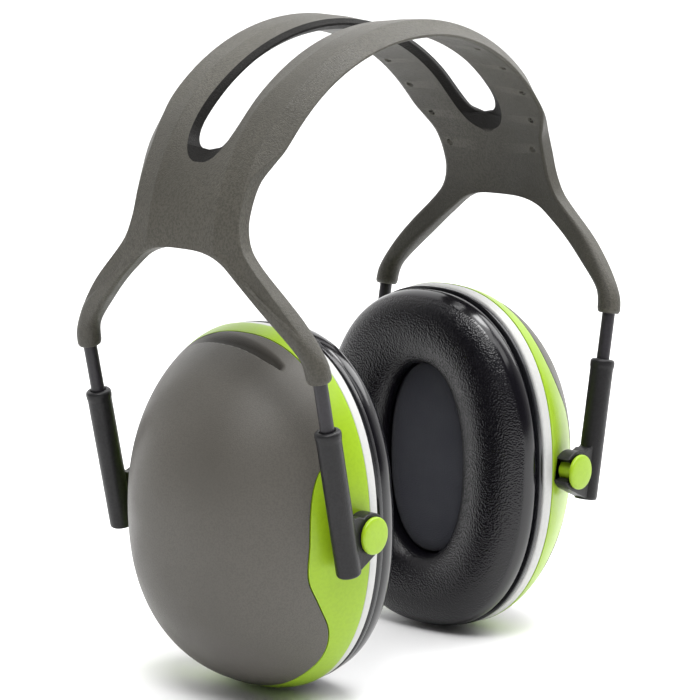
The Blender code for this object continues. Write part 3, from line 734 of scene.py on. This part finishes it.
def dimple_tool():
    """The balls whose caps are the shallow round marks along the underside's edges."""
    bm = bmesh.new()
    for distance, width in DIMPLES:
        (x, z), (nx, nz) = spine_point(distance * MM)
        out = -2.15 * MM - DIMPLE_RADIUS + 0.42 * MM
        for sx in (1, -1):
            for sy in (1, -1):
                place = Matrix.Translation((sx * (x + nx * out), sy * width * MM, z + nz * out))
                bmesh.ops.create_icosphere(bm, subdivisions=3, radius=DIMPLE_RADIUS, matrix=place)
    return piece("dimples", bm, BAND)


def headband():
    made = piece("headband_moulding", quarter_band(), BAND, 50)
    mirror = made.modifiers.new("mirror", "MIRROR")
    mirror.use_axis = (True, True, False)
    mirror.merge_threshold = 0.00002
    applied(made)
    tool = dimple_tool()
    cut = made.modifiers.new("dimples", "BOOLEAN")
    cut.operation = "DIFFERENCE"
    cut.solver = "EXACT"
    cut.object = tool
    applied(made)
    bpy.data.objects.remove(tool, do_unlink=True)
    made.data.set_sharp_from_angle(angle=math.radians(50))
    finish_piece(even_normals(made), "band", ["headband"])


# ---------------------------------------------------------------- wires, sliders and studs

def spring_wires():
    leg_end = spine_distance_at(LEG_END_Z)
    start = leg_end - WIRE_IN_LEG
    places = [start + (leg_end - start) * i / 12 for i in range(13)] + [SPINE[-1][0]]
    for side, sx in SIDES.items():
        for end, sy in ENDS.items():
            rings = []
            for distance in places:
                (x, z), (nx, nz) = spine_point(distance)
                y = ARM_Y if distance > leg_end - 4 * MM else (leg_inner(distance) + half_width(distance)) / 2
                ring = []
                for i in range(32):
                    a = math.tau * i / 32
                    out = WIRE_RADIUS * math.sin(a)
                    ring.append(Vector((sx * (x + nx * out), sy * (y + WIRE_RADIUS * math.cos(a)),
                                        z + nz * out)))
                rings.append(ring)
            bm = bmesh.new()
            loft(bm, rings, cap_start=True, cap_end=True)
            node = f"spring_wire_{end}_{side}"
            finish_piece(piece(node + "_coated", bm, WIRE), "band", [node])


def arc(centre, radius, start, end, steps):
    return [(centre[0] + radius * math.cos(math.radians(mix(start, end, i / steps))),
             centre[1] + radius * math.sin(math.radians(mix(start, end, i / steps))))
            for i in range(steps + 1)]


def hook_outline():
    """Side view of the hook: claw, eye and foot, in the slider's own frame."""
    eye = (-PIVOT_FROM_WIRE, 0.0)
    mouth = math.degrees(math.asin(HOOK_MOUTH / 2 / (NECK_RADIUS + 0.3 * MM)))
    outer_mouth = math.degrees(math.asin((HOOK_MOUTH / 2 + 0.9 * MM) / HOOK_RADIUS))
    upper = arc(eye, HOOK_RADIUS, 72, 180 - outer_mouth, 14)
    inner = arc(eye, NECK_RADIUS + 0.3 * MM, 180 - mouth, -180 + mouth, 28)
    lower = arc(eye, HOOK_RADIUS, -180 + outer_mouth, -118, 6)
    fillet = arc((-PIVOT_FROM_WIRE + 4.2 * MM, HOOK_RADIUS + 3.2 * MM), 2.4 * MM, 0, -100, 6)
    foot = [(-2.6 * MM, -7.8 * MM), (0.0, -7.8 * MM)]
    return [(0.0, 9.2 * MM)] + fillet + upper + inner + lower + foot


def slider_mesh():
    """Tube and hook of the front left slider, wire along Z, pivot level with the origin."""
    top = (SLIDER_TOP_Z - PIVOT_FOOT_Z) / math.cos(WIRE_LEAN)
    bottom = (SLIDER_BOTTOM_Z - PIVOT_FOOT_Z) / math.cos(WIRE_LEAN)
    r, lip = SLIDER_RADIUS, SLIDER_RADIUS + SLIDER_LIP
    profile = [(0.0, bottom), (r - 0.9 * MM, bottom), (r - 0.4 * MM, bottom + 0.1 * MM),
               (r - 0.1 * MM, bottom + 0.4 * MM), (r, bottom + 0.9 * MM), (r, bottom + 12 * MM),
               (r, top - 3.2 * MM), (r + 0.05 * MM, top - 2.7 * MM), (lip - 0.05 * MM, top - 2.2 * MM),
               (lip, top - 1.8 * MM), (lip, top - 0.9 * MM), (lip - 0.15 * MM, top - 0.45 * MM),
               (lip - 0.5 * MM, top - 0.12 * MM), (lip - 0.9 * MM, top), (BORE_RADIUS + 0.25 * MM, top),
               (BORE_RADIUS, top - 0.25 * MM), (BORE_RADIUS, bottom + 3.2 * MM), (0.0, bottom + 3.2 * MM)]
    bm = bmesh.new()
    lathe(bm, profile, 48, "Z")
    hook = bmesh.new()
    low, high = (-y + ARM_Y for y in reversed(HOOK_Y))
    loft(hook, [[Vector((x, y, z)) for x, z in hook_outline()] for y in (low, high)],
         cap_start=True, cap_end=True)
    bmesh.ops.recalc_face_normals(hook, faces=hook.faces)
    rims = [e for e in hook.edges if abs(e.verts[0].co.y - e.verts[1].co.y) < 1e-7]
    bmesh.ops.bevel(hook, geom=rims, offset=0.45 * MM, segments=3, profile=0.5, affect="EDGES")
    part = bpy.data.meshes.new("hook")
    hook.to_mesh(part)
    hook.free()
    bm.from_mesh(part)
    bpy.data.meshes.remove(part)
    return bm


def turned(bm, sx, sy, place):
    """Mirrors a bmesh in X or Y and puts it in its place."""
    for vert in bm.verts:
        vert.co = place @ Vector((vert.co.x * sx, vert.co.y * sy, vert.co.z))
    return bm


def sliders():
    for side, sx in SIDES.items():
        for end, sy in ENDS.items():
            place = Matrix.Translation((sx * wire_x(PIVOT_FOOT_Z), sy * ARM_Y, PIVOT_FOOT_Z))
            place @= Matrix.Rotation(sx * WIRE_LEAN, 4, "Y")
            node = f"slider_{end}_{side}"
            made = piece(node + "_tube", turned(slider_mesh(), sx, -sy, place), SLIDER, 38)
            finish_piece(even_normals(made), node, [node])


def cup_place(sx):
    return Matrix.Translation((sx * PIVOT_X, 0, PIVOT_Z)) @ Matrix.Rotation(sx * CUP_LEAN, 4, "Y")


def studs():
    low, high = STUD_HEAD_Y
    head = STUD_HEAD_RADIUS
    profile = [(0.0, STUD_ROOT_Y), (STUD_ROOT_RADIUS, STUD_ROOT_Y), (STUD_ROOT_RADIUS, STUD_SHOULDER_Y),
               (NECK_RADIUS, STUD_SHOULDER_Y), (NECK_RADIUS, low), (head - 0.3 * MM, low),
               (head - 0.08 * MM, low + 0.1 * MM), (head, low + 0.35 * MM), (head, high - 0.7 * MM),
               (head - 0.1 * MM, high - 0.4 * MM), (head - 0.35 * MM, high - 0.2 * MM),
               (head - 0.8 * MM, high - 0.1 * MM), (head * 0.5, high - 0.02 * MM), (0.0, high)]
    for side, sx in SIDES.items():
        for end, sy in ENDS.items():
            bm = bmesh.new()
            lathe(bm, profile, 64, "Y")
            node = f"pivot_stud_{end}_{side}"
            made = piece(node + "_turned", turned(bm, sx, sy, cup_place(sx)), LIME)
            finish_piece(made, f"cup_{side}", [node])


# ---------------------------------------------------------------- ear cups

def superellipse(angle, half_wide, half_high):
    c, s = math.cos(angle), math.sin(angle)
    return (math.copysign(abs(c) ** (2 / CUP_SQUARENESS), c) * half_wide,
            math.copysign(abs(s) ** (2 / CUP_SQUARENESS), s) * half_high)


def dome_point(angle, turn, inset=0.0):
    """Point of the dome: turn runs from 0 at its crown to a quarter turn at its rim."""
    share = math.sin(turn) ** (2 / DOME_SHARE_POWER)
    rise = math.cos(turn) ** (2 / DOME_RISE_POWER) if turn < math.pi / 2 - 1e-6 else 0.0
    y, v = superellipse(angle, (CUP_HALF_WIDTH - inset) * share, (CUP_HALF_HEIGHT - inset) * share)
    return Vector((SHELL_RIM_OUT + (DOME_DEPTH - inset) * rise, y, v - DOME_DROOP * rise))


def edge_turn(angle):
    """Where the cover ends along a line from the crown of the dome to its rim."""
    low, high = 0.3, math.pi / 2
    for _ in range(30):
        middle = (low + high) / 2
        p = dome_point(angle, middle)
        if p.x > eased(COVER_EDGE, p.z / MM) * MM:
            low = middle
        else:
            high = middle
    return low


def groove_depth(p):
    """Depth of the finger groove near the top of the cover, and of the ledge near its foot."""
    out, y, v = p.x / MM, p.y / MM, p.z / MM
    if v > 30 and -24 < y < 24:
        low, top = eased(GROOVE_LOW_EDGE, y), eased(GROOVE_TOP_EDGE, y)
        side = smoothstep(-18.6, -17.2, y) * (1 - smoothstep(6, 22, y))
        across = (smoothstep(low + 0.15, low - 0.35, out)
                  * smoothstep(top - 1.0 - 0.08 * (y + 18), top + 0.3, out))
        return 1.1 * MM * side * across
    if v < -38 and -20 < y < 20:
        middle = 7.0 - 0.012 * y * y
        ledge = smoothstep(middle + 0.3, middle - 0.3, out) * smoothstep(middle - 3.5, middle - 0.6, out)
        return 0.35 * MM * ledge * (1 - smoothstep(8, 18, abs(y)))
    return 0.0


def cover_angles():
    """Directions from the crown of the dome, closer together across the groove."""
    fine = [math.radians(60 + 60 * i / 80) for i in range(80)]
    rest = [math.radians(120 + 300 * i / 150) for i in range(150)]
    return fine + rest


def cover_mesh():
    angles = cover_angles()
    edges = [edge_turn(a) for a in angles]
    shares = [0.82 * i / 26 for i in range(1, 27)] + [0.82 + 0.175 * i / 30 for i in range(1, 31)]
    rings = []
    for share in shares:
        ring = []
        for a, e in zip(angles, edges):
            depth = groove_depth(dome_point(a, e * share))
            ring.append(dome_point(a, e * share, depth))
        rings.append(ring)
    rings.append([dome_point(a, e - 0.002, 0.05 * MM) for a, e in zip(angles, edges)])
    rings.append([dome_point(a, e, 0.22 * MM) for a, e in zip(angles, edges)])
    rings.append([dome_point(a, e, COVER_THICKNESS) for a, e in zip(angles, edges)])
    rings += [[dome_point(a, e * s, COVER_THICKNESS) for a, e in zip(angles, edges)] for s in (0.8, 0.5, 0.2)]
    bm = bmesh.new()
    rows = loft(bm, rings)
    for row, inset in ((rows[0], 0.0), (rows[-1], COVER_THICKNESS)):
        tip = bm.verts.new(dome_point(0.0, 0.0, inset))
        for i in range(len(row)):
            bm.faces.new((row[i], row[(i + 1) % len(row)], tip))
    return bm


def shell_mesh():
    """The lime shell from under the cover's edge to its rim, with the step that the cover sits in."""
    count = 240
    angles = [math.tau * i / count for i in range(count)]
    edges = [edge_turn(a) for a in angles]
    gap = 0.30 / 42
    under = COVER_THICKNESS + 0.3 * MM
    rings = [[dome_point(a, e - 0.06, under) for a, e in zip(angles, edges)],
             [dome_point(a, e + gap, under) for a, e in zip(angles, edges)],
             [dome_point(a, e + gap, 0.25 * MM) for a, e in zip(angles, edges)],
             [dome_point(a, e + gap + 0.003, 0.05 * MM) for a, e in zip(angles, edges)]]
    for i in range(1, 19):
        rings.append([dome_point(a, mix(e + gap + 0.006, math.pi / 2, i / 18))
                      for a, e in zip(angles, edges)])
    rim = rings[-1]
    rings += [[p + Vector((0, -p.y, -p.z)) * 0.006 - Vector((0.12 * MM, 0, 0)) for p in rim],
              [dome_point(a, math.pi / 2, SHELL_THICKNESS) - Vector((0.12 * MM, 0, 0)) for a in angles],
              [dome_point(a, mix(e, math.pi / 2, 0.5), SHELL_THICKNESS + under)
               for a, e in zip(angles, edges)],
              [dome_point(a, e - 0.06, SHELL_THICKNESS + under) for a, e in zip(angles, edges)]]
    bm = bmesh.new()
    loft(bm, rings, closed_profile=True)
    return bm


OUTLINE_STEPS = 200


def oval(out, inset=0.0, steps=OUTLINE_STEPS):
    return [Vector((out, *superellipse(math.tau * i / steps,
                                       CUP_HALF_WIDTH - inset, CUP_HALF_HEIGHT - inset)))
            for i in range(steps)]


def opening(out, grow=0.0, steps=OUTLINE_STEPS):
    return [Vector((out, *superellipse(math.tau * i / steps,
                                       OPENING_HALF_WIDTH + grow, OPENING_HALF_HEIGHT + grow)))
            for i in range(steps)]


def ring_from_profile(profile, radii):
    """A closed ring whose (out, inset) profile has rounded corners."""
    bm = bmesh.new()
    loft(bm, [oval(p.x, p.y) for p in rounded(profile, radii, 4)], closed_profile=True)
    return bm


def spacer_mesh():
    front, back = SHELL_RIM_OUT - 0.3 * MM, RING_BACK_OUT
    return ring_from_profile([(front, 9 * MM), (front, 0.05 * MM), (back, 0.25 * MM), (back, 9 * MM)],
                             [0, 0.25 * MM, 0.8 * MM, 0])


def plate_mesh():
    front, back = RING_BACK_OUT - 0.3 * MM, PLATE_BACK_OUT
    return ring_from_profile([(front, 18 * MM), (front, 1.3 * MM), (front - 0.7 * MM, 0.35 * MM),
                              (back, 0.35 * MM), (back, 18 * MM)],
                             [0, 0.4 * MM, 0.4 * MM, 0.3 * MM, 0])


def cushion_profile():
    """Points (across, out) round the cushion: across is 0 at its outer edge and 1 at its opening."""
    back, face = CUSHION_BACK_OUT, CUSHION_FACE_OUT + SWELL_CAP
    points = [(0.06, back), (0.03, back - 0.3 * MM), (0.014, back - 1.0 * MM), (0.008, back - 2.0 * MM)]
    for i in range(1, 13):
        a = math.pi / 2 * i / 12
        points.append((0.008 + 0.49 * (1 - math.cos(a) ** 0.9),
                       mix(back - 2.0 * MM, face, math.sin(a) ** 0.9)))
    for i in range(1, 13):
        a = math.pi / 2 * i / 12
        points.append((0.50 + 0.50 * math.sin(a), mix(face + 6.0 * MM, face, math.cos(a) ** 0.9)))
    return points + [(1.0, back - 1.8 * MM), (0.99, back), (0.66, back), (0.33, back)]


def swell(made):
    """Blows the ring up a little as cloth, held where its foot lies on the plate."""
    before = [vert.co.copy() for vert in made.data.vertices]
    held = made.vertex_groups.new(name="held")
    held.add([i for i, co in enumerate(before) if co.x > CUSHION_BACK_OUT - HELD_DEPTH], 1.0, "REPLACE")
    cloth = made.modifiers.new("swell", "CLOTH").settings
    cloth.vertex_group_mass = "held"
    cloth.mass = SWELL_MASS
    cloth.use_pressure = True
    cloth.uniform_pressure_force = SWELL_PRESSURE
    cloth.effector_weights.gravity = 0
    for frame_number in range(1, SWELL_FRAMES + 1):
        bpy.context.scene.frame_set(frame_number)
    applied(made)
    bpy.context.scene.frame_set(1)
    for vert, start in zip(made.data.vertices, before):
        move = vert.co - start
        vert.co = start + move * min(1.0, SWELL_CAP / max(move.length, 1e-9))


def cushion_model():
    """Mesh of a cushion in the cup's own frame."""
    outer, inner = oval(0.0, 0.6 * MM, CUSHION_STEPS), opening(0.0, 0.0, CUSHION_STEPS)
    rings = []
    for across, out in cushion_profile():
        rings.append([Vector((out, mix(o.y, i.y, across), mix(o.z, i.z, across)))
                      for o, i in zip(outer, inner)])
    bm = bmesh.new()
    loft(bm, rings, closed_profile=True)
    made = piece("cushion_model", bm, LEATHER)
    swell(made)
    finer = made.modifiers.new("finer", "SUBSURF")
    finer.levels = finer.render_levels = 1
    mesh = applied(made).data
    bpy.data.objects.remove(made)
    return mesh


def copy_of(mesh):
    bm = bmesh.new()
    bm.from_mesh(mesh)
    return bm


def grain_attribute(made, sx):
    """1 where the leatherette is grained, 0 on its smooth outer band."""
    back = cup_place(sx).inverted()
    layer = made.data.attributes.new("grain", "FLOAT", "POINT")
    for vert in made.data.vertices:
        p = back @ vert.co
        reach = (abs(p.y / CUP_HALF_WIDTH) ** CUP_SQUARENESS + abs(p.z / CUP_HALF_HEIGHT) ** CUP_SQUARENESS)
        reach = reach ** (1 / CUP_SQUARENESS)
        face = 1 - smoothstep(0.945, 0.962, reach)
        layer.data[vert.index].value = face


def liner_mesh():
    bm = bmesh.new()
    face = LINER_FACE_OUT
    rows = loft(bm, [opening(face + 6 * MM, 6 * MM), opening(face + 3 * MM, -0.35 * MM),
                     opening(face + 1.2 * MM, -0.35 * MM),
                     opening(face + 0.35 * MM, -0.7 * MM), opening(face, -1.6 * MM),
                     opening(face - 0.1 * MM, -4 * MM), opening(face - 0.15 * MM, -9 * MM),
                     opening(face - 0.15 * MM, -13 * MM)],
                cap_start=True)
    bm.faces.new(rows[-1])
    return bm


def ear_cups():
    cushion = cushion_model()
    for side, sx in SIDES.items():
        body, place, y_sign = f"cup_{side}", cup_place(sx), -sx
        soft = [("cushion", copy_of(cushion), LEATHER, ["cushion_cover", "cushion_foam"], "leatherette"),
                ("ear_foam", liner_mesh(), FOAM, ["foam_liner"], "foam")]
        hard = [("cover_dome", cover_mesh(), COVER, ["cup_cover"], "cover_grey"),
                ("shell_rim", shell_mesh(), LIME, ["cup_shell"], "lime"),
                ("spacer", spacer_mesh(), WHITE, ["spacer_ring"], "white"),
                ("cushion_seat", plate_mesh(), GLOSS_BLACK, ["cushion_plate"], "plate_black")]
        for name, bm, material, nodes, slot in hard + soft:
            made = piece(f"{name}_{side}", turned(bm, sx, y_sign, place), material)
            if name == "cushion":
                grain_attribute(made, sx)
            if name == "cover_dome":
                cover_painted_shade(made, sx, y_sign)
            finish_piece(made, body, [f"{node}_{side}" for node in nodes])


def cover_painted_shade(made, sx, y_sign):
    """Painted shade in the finger groove, darker the deeper it is, and fainter on the ledge near the cover's
    foot.
    """
    back = cup_place(sx).inverted()

    def depth(co):
        p = back @ co
        return min(groove_depth(Vector((p.x * sx, p.y * y_sign, p.z))) / (1.1 * MM), 1.0)
    painted_shade_attribute(made, depth)


# ---------------------------------------------------------------- studio

def camera():
    azimuth, elevation, roll = math.radians(-49.59), math.radians(11.09), math.radians(0.41)
    target, distance = Vector((0, 0, -0.092)), 0.8003
    back = Vector((math.sin(azimuth) * math.cos(elevation), -math.cos(azimuth) * math.cos(elevation),
                   math.sin(elevation)))
    right = Vector((math.cos(azimuth), math.sin(azimuth), 0))
    up = back.cross(right)
    turned_right = right * math.cos(roll) - up * math.sin(roll)
    turned_up = right * math.sin(roll) + up * math.cos(roll)
    data = bpy.data.cameras.new("camera")
    data.sensor_width = 36.0
    data.lens = 144.08
    data.shift_x, data.shift_y = -0.0091, 0.0094
    made = bpy.data.objects.new("camera", data)
    turn = Matrix((turned_right, turned_up, back)).transposed()
    made.matrix_world = Matrix.Translation(target + back * distance) @ turn.to_4x4()
    bpy.context.scene.collection.objects.link(made)
    bpy.context.scene.camera = made


def light(name, place, target, size, power, colour=(1, 1, 1)):
    data = bpy.data.lights.new(name, "AREA")
    data.shape = "RECTANGLE"
    data.size, data.size_y = size
    data.energy = power
    data.color = colour
    made = bpy.data.objects.new(name, data)
    made.location = place
    made.rotation_mode = "QUATERNION"
    made.rotation_quaternion = (Vector(target) - Vector(place)).to_track_quat("-Z", "Y")
    bpy.context.scene.collection.objects.link(made)


def studio():
    floor_z = CAD_BOX[0][2]
    bm = bmesh.new()
    bmesh.ops.create_grid(bm, x_segments=1, y_segments=1, size=6.0)
    bmesh.ops.translate(bm, verts=bm.verts, vec=(0, 0, floor_z))
    pale, _, _ = nodes_of("pale_floor", (0.90, 0.90, 0.90), 0.6)
    floor = piece("floor", bm, pale)
    tent()
    bpy.context.scene.view_settings.view_transform = "Standard"
    soft_sun("overhead", (-0.10, -0.20, 1.0), 1.8, 50)
    soft_sun("shoulder", (-0.30, -0.27, 0.87), 0.5, 12)
    middle = (0, 0, -0.10)
    light("top", (0.24, -0.10, 0.60), middle, (0.34, 0.24), 3.0)
    light("rear_side", (0.68, -0.23, 0.45), middle, (0.5, 0.5), 3.0)
    light("front_side", (0.12, -0.62, 0.55), middle, (0.4, 0.3), 1.0)
    light("front", (-0.50, -0.25, 0.75), middle, (0.40, 0.30), 4.0)


def tent():
    """A white tent round the object, brighter behind it than on the camera's side."""
    world = bpy.data.worlds.new("studio")
    bpy.context.scene.world = world
    world.use_nodes = True
    tree = world.node_tree
    sky = tree.nodes["Background"]
    sky.inputs["Color"].default_value = (1, 1, 1, 1)
    place = tree.nodes.new("ShaderNodeTexCoord")
    behind = tree.nodes.new("ShaderNodeVectorMath")
    behind.operation = "DOT_PRODUCT"
    behind.inputs[1].default_value = (0.74, 0.62, 0.25)
    tree.links.new(place.outputs["Generated"], behind.inputs[0])
    tree.links.new(ramp(tree, behind.outputs["Value"], -0.3, 0.9, 0.10, 1.7), sky.inputs["Strength"])


def soft_sun(name, back, strength, spread):
    """Even light from a wide part of the ceiling."""
    data = bpy.data.lights.new(name, "SUN")
    data.energy = strength
    data.angle = math.radians(spread)
    made = bpy.data.objects.new(name, data)
    made.rotation_mode = "QUATERNION"
    made.rotation_quaternion = Vector(back).to_track_quat("Z", "Y")
    bpy.context.scene.collection.objects.link(made)


camera()
headband()
spring_wires()
sliders()
studs()
ear_cups()
studio()
bpy.context.view_layer.update()
